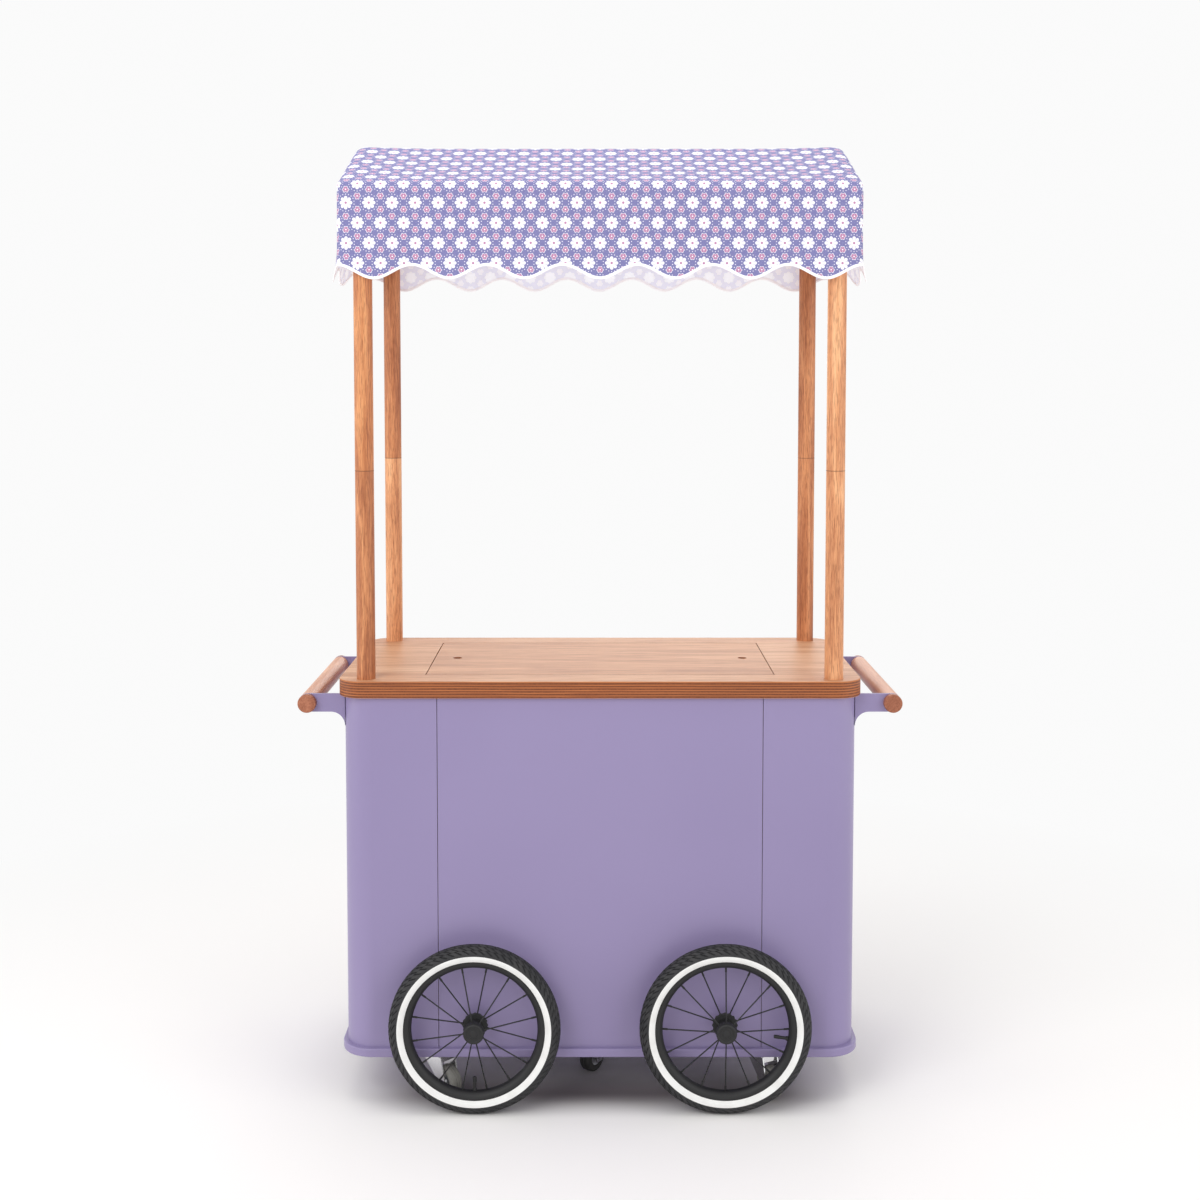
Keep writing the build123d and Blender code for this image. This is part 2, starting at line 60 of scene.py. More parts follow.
class Signal:
    # one socket of a material, so that shader maths is written as maths
    def __init__(self, shade, socket):
        self.shade, self.socket = shade, socket

    def maths(self, operation, other=0.0, swapped=False):
        first, second = (other, self) if swapped else (self, other)
        return self.shade.node("ShaderNodeMath", {"operation": operation}, {0: first, 1: second})

    def __add__(self, other):
        return self.maths("ADD", other)

    def __sub__(self, other):
        return self.maths("SUBTRACT", other)

    def __rsub__(self, other):
        return self.maths("SUBTRACT", other, True)

    def __mul__(self, other):
        return self.maths("MULTIPLY", other)

    def __truediv__(self, other):
        return self.maths("DIVIDE", other)

    def __mod__(self, other):
        return self.maths("FLOORED_MODULO", other)

    def __abs__(self):
        return self.maths("ABSOLUTE")

    __radd__, __rmul__ = __add__, __mul__

    def power(self, other):
        return self.maths("POWER", other)

    def smaller(self, other):
        return self.maths("MINIMUM", other)

    def larger(self, other):
        return self.maths("MAXIMUM", other)

    def below(self, edge, softness):
        # 1 where the signal is under the edge, 0 above it, with a soft step between
        return self.shade.node(
            "ShaderNodeMapRange",
            {"interpolation_type": "SMOOTHSTEP"},
            {"Value": self, "From Min": edge + softness, "From Max": edge - softness},
        )

    def above(self, edge, softness):
        return 1 - self.below(edge, softness)

    def spread(self, low, high):
        # stretches the part from low to high over 0 to 1
        return self.shade.node("ShaderNodeMapRange", {}, {"Value": self, "From Min": low, "From Max": high})


class Shade:
    # a material under construction
    def __init__(self, name):
        self.material = bpy.data.materials.new(name)
        self.material.use_nodes = True
        self.tree = self.material.node_tree
        self.tree.nodes.clear()

    def node(self, kind, settings=None, values=None, output=0):
        made = self.tree.nodes.new(kind)
        for key, value in (settings or {}).items():
            if key == "stops":
                ramp = made.color_ramp.elements
                while len(ramp) < len(value):
                    ramp.new(0.5)
                for element, (place, colour) in zip(ramp, value):
                    element.position, element.color = place, colour
            else:
                setattr(made, key, value)
        for key, value in (values or {}).items():
            if isinstance(value, Signal):
                self.tree.links.new(value.socket, made.inputs[key])
            else:
                made.inputs[key].default_value = value
        return Signal(self, made.outputs[output]) if len(made.outputs) else None

    def mix(self, factor, first, second):
        return self.node("ShaderNodeMix", {"data_type": "RGBA"}, {0: factor, 6: first, 7: second}, 2)

    def ramp(self, tone, deep, mid, pale, look):
        # the look's three colours, each reached at its level of the tone
        stops = [(deep, look["deep"]), (mid, look["mid"]), (pale, look["pale"])]
        return self.node("ShaderNodeValToRGB", {"stops": stops}, {0: tone})

    def place(self):
        return self.node("ShaderNodeTexCoord", output="Object")

    def stretched(self, scale):
        # the place in the object, in metres, multiplied along each axis
        return self.node("ShaderNodeVectorMath", {"operation": "MULTIPLY"}, {0: self.place(), 1: scale})

    def split(self, vector):
        self.node("ShaderNodeSeparateXYZ", values={0: vector})
        outputs = self.tree.nodes[-1].outputs
        return [Signal(self, outputs[i]) for i in range(3)]

    def cloud(self, scale, detail=3.0):
        return self.node(
            "ShaderNodeTexNoise", values={"Vector": self.place(), "Scale": scale, "Detail": detail}
        )

    def fibre(self, scale, detail=2.0, roughness=0.5):
        # a cloud whose grains differ in length along the three axes
        return self.node(
            "ShaderNodeTexNoise",
            values={"Vector": self.stretched(scale), "Scale": 1.0, "Detail": detail, "Roughness": roughness},
        )

    def bump(self, height, strength, distance, normal=None):
        values = {"Height": height, "Strength": strength, "Distance": distance}
        if normal:
            values["Normal"] = normal
        return self.node("ShaderNodeBump", values=values)

    def surface(self, **sockets):
        # a socket's name in camelCase, apart from the specular one
        spaced = {key: "".join(" " + c if c.isupper() else c for c in key).title() for key in sockets}
        spaced["specular"] = "Specular IOR Level"
        values = {spaced[key]: value for key, value in sockets.items()}
        shader = self.node("ShaderNodeBsdfPrincipled", values=values)
        self.node("ShaderNodeOutputMaterial", values={"Surface": shader})
        return self.material


paintLook = {
    "colour": srgb(148, 136, 175),
    "shadeColour": srgb(144, 132, 171),
    "roughness": 0.36,
    "peel": 0.05,
}


def lavenderPaint(name, look=paintLook):
    shade = Shade(name)
    drift = shade.cloud(1.6, detail=2.0).spread(0.35, 0.65)
    colour = shade.mix(drift, look["colour"], look["shadeColour"])
    marks = shade.cloud(38, detail=4.0)
    peel = shade.cloud(520, detail=2.0)
    return shade.surface(
        baseColor=colour,
        roughness=marks * 0.12 + (look["roughness"] - 0.06),
        specular=0.4,
        normal=shade.bump(peel, look["peel"], 0.0006),
    )


beechLook = {
    "pale": srgb(226, 158, 106),
    "mid": srgb(198, 126, 80),
    "deep": srgb(150, 84, 50),
    "pore": srgb(112, 60, 36),
    "pores": 0.4,
    "roughness": 0.44,
}
# darker and paler copies of the post wood, set on single posts: painted shade and painted light that set how
# bright each post looks
shadedPostLook = dict(beechLook, pale=srgb(220, 151, 103), mid=srgb(188, 119, 77), deep=srgb(148, 85, 54))
litPostLook = dict(beechLook, pale=srgb(244, 186, 137), mid=srgb(224, 157, 110), deep=srgb(182, 115, 76))
rodLook = dict(beechLook, pale=srgb(234, 184, 152), mid=srgb(218, 162, 130), deep=srgb(194, 132, 100))
rodLook.update(pores=0.08, roughness=0.36)
capLook = dict(beechLook, pale=srgb(182, 118, 90), mid=srgb(162, 100, 74), deep=srgb(128, 74, 52))


def stainedWood(name, along, look=beechLook):
    # along is the axis of the grain, 0 to 2
    shade = Shade(name)

    def grain(across, length, detail, roughness):
        scale = [across] * 3
        scale[along] = length
        return shade.fibre(scale, detail, roughness)

    figure = grain(40.0, 1.5, 3.0, 0.55)
    flame = (grain(20.0, 1.6, 1.0, 0.4) * 8.0).maths("PINGPONG", 1.0)
    streak = grain(420.0, 13.0, 4.0, 0.7)
    pore = grain(520.0, 40.0, 2.0, 0.5)
    slow = shade.cloud(2.3, detail=1.0)
    tone = figure * 0.22 + flame.power(2.0) * 0.14 + streak * 0.54 + slow * 0.10 + 0.12
    colour = shade.ramp(tone, 0.46, 0.59, 0.72, look)
    colour = shade.mix(pore.above(0.56, 0.07) * look["pores"], colour, look["pore"])
    relief = streak * 0.6 + pore * 0.4
    return shade.surface(
        baseColor=colour,
        roughness=streak * 0.18 + (look["roughness"] - 0.08),
        specular=0.35,
        normal=shade.bump(relief, 0.22, 0.0006),
    )


plyLook = {
    "pale": srgb(230, 184, 147),
    "mid": srgb(213, 161, 122),
    "deep": srgb(182, 127, 91),
    "edgePale": srgb(198, 118, 62),
    "edgeMid": srgb(146, 79, 42),
    "edgeDark": srgb(94, 46, 25),
    "glue": srgb(40, 18, 10),
    "ply": 0.0031,
    "roughness": 0.44,
}
lidLook = dict(plyLook, pale=srgb(225, 175, 135), mid=srgb(207, 152, 112), deep=srgb(173, 117, 81))


def plywood(name, under, look=plyLook):
    # long grain on the faces, and on the edges plies of long and end grain with dark glue between
    shade = Shade(name)
    height = shade.split(shade.place())[2] - under
    figure = shade.fibre((1.4, 20.0, 20.0), 3.0, 0.55)
    streak = shade.fibre((6.0, 260.0, 260.0), 4.0, 0.7)
    fleck = shade.fibre((16.0, 620.0, 620.0)).above(0.56, 0.07)
    face = shade.ramp(figure * 0.36 + streak * 0.64 - fleck * 0.05, 0.41, 0.51, 0.61, look)
    layer = height / look["ply"] + shade.fibre((5.0, 5.0, 40.0)) * 0.5
    endGrain = (layer / 2 % 1.0).above(0.5, 0.05)
    seamDepth = shade.fibre((4.0, 4.0, 150.0)).spread(0.36, 0.58)
    seam = abs(layer % 1.0 - 0.5).above(0.41, 0.06) * seamDepth
    longStreak = shade.fibre((9.0, 9.0, 900.0), 4.0, 0.65)
    endSpeck = shade.fibre((420.0, 420.0, 260.0), 2.0, 0.6)
    edgeTone = (longStreak * (1 - endGrain) + endSpeck * endGrain).spread(0.32, 0.68)
    pale = shade.mix(edgeTone, look["edgeMid"], look["edgePale"])
    dark = shade.mix(edgeTone, look["edgeDark"], look["edgeMid"])
    edge = shade.mix(endGrain, pale, dark)
    edge = shade.mix(seam * 0.9, edge, look["glue"])
    normalZ = shade.split(shade.node("ShaderNodeNewGeometry", output="Normal"))[2]
    flat = abs(normalZ).above(0.72, 0.12)
    colour = shade.mix(flat, edge, face)
    relief = streak * 0.7 + edgeTone * 0.3
    return shade.surface(
        baseColor=colour,
        roughness=streak * 0.16 + (look["roughness"] - 0.06),
        specular=0.4,
        normal=shade.bump(relief, 0.16, 0.0005),
    )


def bareWood(name):
    shade = Shade(name)
    figure = shade.fibre((2.0, 30.0, 30.0), 4.0, 0.6)
    colour = shade.mix(figure.spread(0.35, 0.65), srgb(206, 178, 138), srgb(228, 205, 168))
    return shade.surface(baseColor=colour, roughness=0.62, normal=shade.bump(figure, 0.15, 0.0005))


def times(colour, factor):
    return tuple(c * factor for c in colour[:3]) + (1.0,)


def metal(name, colour, roughness, wear):
    shade = Shade(name)
    smear = shade.cloud(26, detail=4.0)
    fine = shade.cloud(700, detail=1.0)
    tint = shade.mix(smear.spread(0.4, 0.6), colour, times(colour, 0.9))
    return shade.surface(
        baseColor=tint,
        metallic=1.0,
        roughness=smear * wear + roughness,
        normal=shade.bump(fine, 0.02, 0.0002),
    )


def rubber(name, colour, dust):
    shade = Shade(name)
    grime = shade.cloud(30, detail=5.0).spread(0.45, 0.8)
    colour = shade.mix(grime * 0.5, colour, dust)
    grit = shade.cloud(900, detail=2.0)
    return shade.surface(
        baseColor=colour,
        roughness=grime * 0.1 + 0.62,
        specular=0.35,
        normal=shade.bump(grit, 0.12, 0.0004),
    )


def blackEnamel(name, colour, roughness):
    shade = Shade(name)
    wear = shade.cloud(60, detail=4.0)
    colour = shade.mix(wear.spread(0.4, 0.7), colour, times(colour, 1.35))
    grain = shade.cloud(1100, detail=1.0)
    return shade.surface(
        baseColor=colour, roughness=wear * 0.12 + roughness, normal=shade.bump(grain, 0.05, 0.0003)
    )


printLook = {
    "ground": srgb(122, 120, 170),
    "groundThread": srgb(152, 151, 193),
    "white": srgb(246, 245, 249),
    "lilac": srgb(198, 190, 222),
    "pink": srgb(190, 132, 170),
    "pitch": 0.0525,     # from one daisy to the next
    "petal": 0.0152,     # reach of a petal
    "eye": 0.0027,
    "blossom": 0.0071,
    "bead": 0.0011,
    "ink": 0.0003,       # softness of a printed edge
    "thread": 0.0009,
}


def daisyMasks(shade, look):
    # daisies in staggered rows, a small blossom in each gap between three of them, and beads round each daisy
    u, v, unused = shade.split(shade.node("ShaderNodeUVMap", {"uv_map": "cut"}))
    pitch, row, ink = look["pitch"], look["pitch"] * sqrt(3), look["ink"]
    near = []
    for shift in (0.0, 0.5):
        across = (u + shift * pitch) % pitch - pitch / 2
        up = (v + shift * row) % row - row / 2
        near.append((across, up, (across * across + up * up).power(0.5)))
    (ax, ay, ar), (bx, by, br) = near
    second = (ar - br).above(0.0, 0.000001)
    x, y = ax + (bx - ax) * second, ay + (by - ay) * second
    reach = ar.smaller(br)
    angle = y.maths("ARCTAN2", x)
    lobe = abs((angle * 4.0).maths("COSINE"))
    outline = lobe.power(0.6) * (look["petal"] * 0.34) + look["petal"] * 0.66
    petal = (reach - outline).below(0.0, ink)
    vein = lobe.below(0.3, 0.12) * reach.above(look["petal"] * 0.34, 0.0008) * petal
    eye = reach.below(look["eye"], ink)

    def polar(count, away):
        # the distance from the nearest of count places spread evenly round a daisy, and the angle there
        step = 2 * pi / count
        local = angle % step - step / 2
        alongX = reach * local.maths("COSINE") - away
        alongY = reach * local.maths("SINE")
        return (alongX * alongX + alongY * alongY).power(0.5), alongY.maths("ARCTAN2", alongX)

    gap, around = polar(6, pitch / sqrt(3))
    leaf = abs((around * 2.5).maths("COSINE"))
    edge = gap - (leaf * 0.5 + 0.5) * look["blossom"]
    blossom = edge.below(0.0, ink) * gap.above(look["blossom"] * 0.24, ink)
    halo = edge.below(0.0012, ink)
    bead = polar(18, look["petal"] * 1.27)[0].below(look["bead"], ink)
    return petal, vein, eye, halo, blossom, bead


def weave(shade, look=printLook):
    u, v, unused = shade.split(shade.node("ShaderNodeUVMap", {"uv_map": "cut"}))
    turns = 2 * pi / look["thread"]
    return (u * turns).maths("SINE") * (v * turns).maths("SINE")


def printedCotton(name, look=printLook):
    shade = Shade(name)
    petal, vein, eye, halo, blossom, bead = daisyMasks(shade, look)
    slub = shade.cloud(420, detail=3.0).spread(0.35, 0.7)
    ground = shade.mix(slub * 0.5, look["ground"], look["groundThread"])
    colour = shade.mix(petal.larger(bead).larger(halo), ground, look["white"])
    colour = shade.mix(vein * 0.8, colour, look["lilac"])
    colour = shade.mix(eye.larger(blossom), colour, look["pink"])
    crease = shade.cloud(60, detail=3.0)
    normal = shade.bump(crease, 0.12, 0.002)
    return shade.surface(
        baseColor=colour,
        roughness=0.86,
        specular=0.2,
        normal=shade.bump(weave(shade), 0.25, 0.0003, normal),
    )


def wrongSide(name, look=printLook):
    # the unprinted side, with the print showing through faintly, and a glow painted in as light shining
    # through the cloth
    shade = Shade(name)
    petal, vein, eye, halo, blossom, bead = daisyMasks(shade, look)
    pale, ghost = srgb(230, 233, 238), srgb(212, 213, 226)
    colour = shade.mix(petal.larger(halo), ghost, pale)
    colour = shade.mix(blossom * 0.1, colour, look["pink"])
    return shade.surface(
        baseColor=colour,
        roughness=0.9,
        specular=0.15,
        emissionColor=colour,
        emissionStrength=0.36,
        normal=shade.bump(weave(shade), 0.25, 0.0003),
    )


def cottonTape(name):
    shade = Shade(name)
    rib = shade.cloud(900, detail=2.0)
    soft = shade.cloud(70, detail=2.0)
    colour = shade.mix(soft.spread(0.3, 0.7), srgb(246, 245, 247), srgb(236, 234, 239))
    # a faint glow painted in as light, lifting the tape where it hangs in shade
    return shade.surface(
        baseColor=colour,
        roughness=0.85,
        specular=0.2,
        emissionColor=colour,
        emissionStrength=0.15,
        normal=shade.bump(rib, 0.3, 0.0004),
    )


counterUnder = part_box("countertop")[0].z
paint = lavenderPaint("lavenderPaint")
postWood = stainedWood("stainedWoodUpright", 2)
# painted shade and painted light: darker and paler copies of the post wood
shadedPostWood = stainedWood("stainedWoodUprightShaded", 2, shadedPostLook)
litPostWood = stainedWood("stainedWoodUprightLit", 2, litPostLook)
poleWood = stainedWood("stainedWoodPole", 0)
railWood = stainedWood("stainedWoodRail", 1)
rodWood = stainedWood("stainedWoodRod", 1, rodLook)
capWood = stainedWood("stainedWoodEnd", 1, capLook)
counterPly = plywood("counterPlywood", counterUnder)
lidPly = plywood("lidPlywood", counterUnder, lidLook)
innerWood = bareWood("bareBirch")
darkJoint = blackEnamel("darkJoint", srgb(62, 38, 26), 0.7)
zinc = metal("zincPlate", srgb(196, 197, 200), 0.32, 0.15)
chrome = metal("castorChrome", srgb(238, 239, 240), 0.12, 0.1)
axleBlack = blackEnamel("axleBlack", srgb(30, 30, 32), 0.42)
tyreRubber = rubber("tyreRubber", srgb(44, 44, 46), srgb(80, 78, 78))
# a darker rubber for the bottoms of the tread's cuts: painted shade in the grooves
grooveShadeRubber = rubber("grooveShadeRubber", srgb(20, 20, 22), srgb(34, 34, 34))
whiteBand = rubber("whiteBand", srgb(240, 240, 238), srgb(214, 212, 208))
castorRubber = rubber("castorRubber", srgb(140, 138, 132), srgb(162, 160, 154))
# a darker copy of the castor rubber: painted shade for the roller under the middle of the cart
shadedCastorRubber = rubber("shadedCentreCastorRubber", srgb(62, 62, 62), srgb(86, 84, 82))
wheelBlack = blackEnamel("wheelBlack", srgb(17, 17, 18), 0.5)
hubPlastic = blackEnamel("hubPlastic", srgb(22, 22, 23), 0.58)
cotton = printedCotton("printedCotton")
cottonInside = wrongSide("cottonInside")
tape = cottonTape("cottonTape")
print("materials made")

nodeFinish = {  # a later row takes the place of an earlier one
    paint: ["base_plate", "left_end_shell", "right_end_shell", "front_panel", "rear_panel", "left_door"]
    + ["right_door", "handle_brackets"],
    counterPly: ["countertop"],
    lidPly: ["counter_lid"],
    innerWood: ["inner_battens", "shelf", "lid_ledge"],
    rodWood: ["left_handle_rod", "right_handle_rod"],
    capWood: ["handle_end_caps"],
    railWood: ["canopy_rails", "gable_boards"],
    poleWood: ["ridge_pole"],
    zinc: ["post_bolts", "post_dowels", "door_pivots"],
    axleBlack: ["wheel_axles"],
    chrome: ["castor_plates"] + [n for n in frame["nodes"] if n.endswith("_castor_fork")],
    postWood: [n for n in frame["nodes"] if n.endswith("_post")],
    # posts given painted shade, then posts given painted light
    shadedPostWood: ["front_left_lower_post", "rear_left_upper_post", "rear_right_upper_post"]
    + ["rear_right_lower_post"],
    litPostWood: ["front_right_lower_post", "front_right_upper_post", "rear_left_lower_post"],
}
for finish, names in nodeFinish.items():
    for name in names:
        node = frame["nodes"][name]
        node.data.materials.clear()
        node.data.materials.append(finish)


def squareTo(axis):
    # the axis at length one, and two directions square to it
    axis = Vector(axis).normalized()
    side = axis.orthogonal().normalized()
    return axis, side, axis.cross(side)


def placed(name, data):
    made = bpy.data.objects.new(name, data)
    bpy.context.scene.collection.objects.link(made)
    return made


class Form:
    # gathers the vertices and faces of one piece
    def __init__(self):
        self.points, self.faces, self.slots = [], [], []

    def add(self, points, faces, slot=0):
        start = len(self.points)
        self.points += [Vector(p) for p in points]
        self.faces += [tuple(start + i for i in f) for f in faces]
        self.slots += [slot] * len(faces) if isinstance(slot, int) else list(slot)

    def loft(self, rings, slot=0, joined=True):
        # joins rings of equal length one after another, then the last to the first or else caps both ends
        size, faces = len(rings[0]), []
        for i in range(len(rings) if joined else len(rings) - 1):
            low, high = i * size, (i + 1) % len(rings) * size
            for j in range(size):
                k = (j + 1) % size
                faces.append((low + j, low + k, high + k, high + j))
        if not joined:
            faces.append(tuple(range(size))[::-1])
            faces.append(tuple((len(rings) - 1) * size + j for j in range(size)))
        self.add([p for ring in rings for p in ring], faces, slot)

    def lathe(self, profile, centre, axis, turns=96, slot=0, lobes=None):
        # turns a closed outline of (radius, distance along the axis) about the axis
        axis, side, other = squareTo(axis)
        centre, rings = Vector(centre), []
        for i in range(turns):
            angle = 2 * pi * i / turns
            out = side * cos(angle) + other * sin(angle)
            swell = lobes(angle) if lobes else 1.0
            rings.append([centre + axis * a + out * r * swell for r, a in profile])
        self.loft(rings, slot)

    def rod(self, start, end, radius, sides=16, slot=0, tip=0.0):
        # a straight bar, with an edge as wide as tip taken off both ends
        axis, side, other = squareTo(end - start)
        length = (end - start).length
        stations = [(0.0, radius - tip), (tip, radius), (length - tip, radius), (length, radius - tip)]
        if not tip:
            stations = [stations[0], stations[-1]]
        angles = [2 * pi * i / sides for i in range(sides)]
        rings = []
        for a, r in stations:
            rings.append([start + axis * a + (side * cos(t) + other * sin(t)) * r for t in angles])
        self.loft(rings, slot, False)

    def piece(self, name, body, slotName, materials, replaces=(), sharp=35):
        mesh = bpy.data.meshes.new(name)
        mesh.from_pydata(self.points, [], self.faces)
        for material in materials:
            mesh.materials.append(material)
        mesh.polygons.foreach_set("material_index", self.slots)
        work = bmesh.new()
        work.from_mesh(mesh)
        bmesh.ops.remove_doubles(work, verts=work.verts, dist=0.000001)
        bmesh.ops.recalc_face_normals(work, faces=work.faces)
        work.to_mesh(mesh)
        work.free()
        mesh.shade_smooth()
        if sharp:
            mesh.set_sharp_from_angle(angle=radians(sharp))
        made = placed(name, mesh)
        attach(made, body)
        if replaces:
            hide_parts(*replaces)
        return made


# Large wheels
wheelLook = {
    "radius": 0.199,
    "section": 0.0215,
    "bead": 0.1602,
    "bandOuter": 0.1778,
    "bandInner": 0.1636,
    "bandProud": 0.0003,
    "blocks": 66,
    "samples": 12,
    "treadHalf": 80.0,    # degrees round the section
    "treadFade": 14.0,
    "treadDepth": 0.0019,
    "grooves": ((0.0, 2.5), (24.0, 2.0), (51.0, 1.2)),    # middle and half width, in degrees
    "grooveCut": 0.8,
    "middleCut": (0.024, 0.26),    # slant per degree, and share of a block
    "sideCut": (0.034, 0.22),
    "rimInner": 0.1455,
    "rimHalf": 0.0165,
    "spokes": 16,
    "spokeRadius": 0.0016,
    "nipple": (0.0125, 0.0023),    # length and radius
    "spokeFoot": (0.004, 0.0024),
    "flangePlace": -0.020,
    "flangeRadius": 0.029,
    "capRadius": 0.0240,
    "capFace": 0.035,
    "capStart": 0.015,
    "barrel": 0.016,
    "hubBack": -0.043,
    "bore": 0.0082,
}


def treadDepth(turn, angle, look):
    # how deep the tread is cut, 0 to 1, at a place round the tyre and an angle round its section
    reach = abs(angle)
    if reach > look["treadHalf"]:
        return 0.0
    if any(abs(reach - middle) < half for middle, half in look["grooves"]):
        return look["grooveCut"]
    # slanted cuts, which run half a block later beyond the outer groove
    inner, outer = look["grooves"][1][0], look["grooves"][2][0]
    slant, width = look["middleCut"] if reach < inner else look["sideCut"]
    shift = slant * (angle if reach < inner else reach)
    phase = (turn * look["blocks"] + shift + (0.5 if reach > outer else 0.0)) % 1.0
    fade = min(1.0, (look["treadHalf"] + 4 - reach) / look["treadFade"])
    return fade * (1 - abs(phase / width - 0.5) * 0.5) if phase < width else 0.0


def makeTyre(corner, centre, out, look=wheelLook):
    middle = look["radius"] - look["section"]

    def angleAt(radius):
        # degrees round the section, from the middle of the tread
        rise = radius - middle
        return degrees(atan2(sqrt(max(0.0, look["section"] ** 2 - rise ** 2)), rise))

    bead, bandLow, bandHigh = angleAt(look["bead"]), angleAt(look["bandInner"]), angleAt(look["bandOuter"])
    # close together where a groove or the white band begins and ends
    half = [0.0, 2.4, 2.6, 8, 14, 20, 21.9, 22.1, 25.9, 26.1] + [29 + 3.4 * n for n in range(7)]
    half += [52.3 + 3.3 * n for n in range(9)] + [83]
    half += [bandHigh - 0.6, bandHigh, bandHigh + 0.8]
    half += [(bandHigh * 2 + bandLow) / 3, (bandHigh + bandLow * 2) / 3]
    half += [bandLow - 0.8, bandLow, bandLow + 0.6, (bandLow + bead) / 2, bead]
    angles = [-a for a in half[:0:-1]] + half
    form, rings, turns = Form(), [], look["blocks"] * look["samples"]
    for i in range(turns):
        turn = i / turns
        up = Vector((cos(2 * pi * turn), 0, sin(2 * pi * turn)))
        ring = []
        for a in angles:
            proud = look["bandProud"] if bandHigh - 0.1 < abs(a) < bandLow + 0.1 else 0.0
            grow = look["section"] + proud - look["treadDepth"] * treadDepth(turn, a, look)
            radius = middle + grow * cos(radians(a))
            ring.append(centre + up * radius + out * grow * sin(radians(a)))
        rings.append(ring)
    # each strip of the section is white or black, with painted shade in a cut, and the last, at the rim, is
    # black
    between = [(low + high) / 2 for low, high in zip(angles, angles[1:])]
    band = [1 if bandHigh < abs(a) < bandLow else 0 for a in between]
    slots = []
    for i in range(turns):
        cuts = [treadDepth((i + 0.5) / turns, a, look) > 0.5 for a in between]
        slots += [2 if cut else strip for cut, strip in zip(cuts, band)] + [0]
    form.loft(rings, slots)
    form.piece(
        f"{corner}Tyre", f"{corner}_wheel", "tyre_rubber", [tyreRubber, whiteBand, grooveShadeRubber],
        [f"{corner}_tyre"], sharp=28,
    )


def makeRim(corner, centre, out, look=wheelLook):
    inner, half = look["rimInner"], look["rimHalf"]
    outer = look["bandInner"] - 0.0002
    edge = [(inner, 0.0), (inner + 0.0008, 0.006), (inner + 0.003, 0.0098), (inner + 0.0065, 0.0135)]
    edge += [(inner + 0.0085, 0.0152), (outer - 0.0035, half), (outer - 0.001, half + 0.0002)]
    edge += [(outer, half - 0.001), (outer, half - 0.0032), (look["bead"] - 0.0004, half - 0.0036)]
    profile = edge + [(r, -a) for r, a in reversed(edge[1:])]
    form = Form()
    form.lathe(profile, centre, out, 192)
    form.piece(
        f"{corner}Rim", f"{corner}_wheel", "wheel_black", [wheelBlack], [f"{corner}_rim"], sharp=40
    )


def makeHub(corner, centre, out, offset, look=wheelLook):
    # a barrel, an ear that holds every second spoke, a cap that holds the others, and the spokes
    form = Form()
    bore, barrel, cap = look["bore"], look["barrel"], look["capRadius"]
    flange, flangeAt = look["flangeRadius"], look["flangePlace"]
    face, back = look["capFace"], look["hubBack"]
    body = [(bore, back), (barrel - 0.001, back), (barrel, back + 0.001), (barrel, look["capStart"])]
    body += [(bore, look["capStart"])]
    form.lathe(body, centre, out, 64)
    ear = [(barrel, flangeAt - 0.003), (flange - 0.002, flangeAt - 0.003), (flange, flangeAt - 0.001)]
    ear += [(flange, flangeAt + 0.001), (flange - 0.002, flangeAt + 0.003), (barrel, flangeAt + 0.003)]
    count = look["spokes"]
    form.lathe(ear, centre, out, 256, 0, lambda a: 1 + 0.035 * cos(count * a))
    lid = [(bore, look["capStart"] + 0.003), (cap - 0.002, look["capStart"]), (cap, look["capStart"] + 0.002)]
    lid += [(cap, face - 0.005), (cap - 0.0012, face - 0.0022), (cap - 0.0035, face - 0.0008)]
    lid += [(cap - 0.0065, face - 0.0012), (cap - 0.0075, face - 0.0022), (0.0095, face - 0.0022)]
    lid += [(0.0085, face - 0.001), (0.004, face), (0.0, face), (0.0, face - 0.005), (0.0135, face - 0.005)]
    lid += [(0.0135, face - 0.0175), (bore, face - 0.0175)]
    form.lathe(lid, centre, out, 96, 0, lambda a: 1 - 0.012 * (1 if (a * 12 / pi) % 2 < 0.3 else 0))
    for i in range(count):
        angle = 2 * pi * (i + offset) / count
        up = Vector((cos(angle), 0, sin(angle)))
        reach, level = (flange - 0.0035, flangeAt) if i % 2 else (cap - 0.003, look["capStart"] + 0.0035)
        start = centre + up * reach + out * level
        end = centre + up * (look["rimInner"] + 0.0006)
        form.rod(start, end, look["spokeRadius"], 10, 1)
        along = (end - start).normalized()
        form.rod(end - along * look["nipple"][0], end, look["nipple"][1], 12, 1, 0.0007)
        foot = start + along * look["spokeFoot"][0]
        form.rod(start - along * 0.001, foot, look["spokeFoot"][1], 10, 1, 0.0006)
    form.piece(
        f"{corner}SpokedHub", f"{corner}_wheel", "wheel_black", [hubPlastic, wheelBlack],
        [f"{corner}_spoked_hub"],
    )


def makeValve(corner, centre, angle, look=wheelLook):
    form, up = Form(), Vector((cos(angle), 0, sin(angle)))
    base = centre + up * (look["rimInner"] + 0.0005)
    form.rod(base, base - up * 0.0055, 0.0052, 20, 0, 0.0008)
    form.rod(base - up * 0.005, base - up * 0.022, 0.0037, 20, 0, 0.0004)
    form.rod(base - up * 0.020, base - up * 0.033, 0.0045, 8, 0, 0.0009)
    form.piece(f"{corner}Valve", f"{corner}_wheel", "tyre_rubber", [hubPlastic])


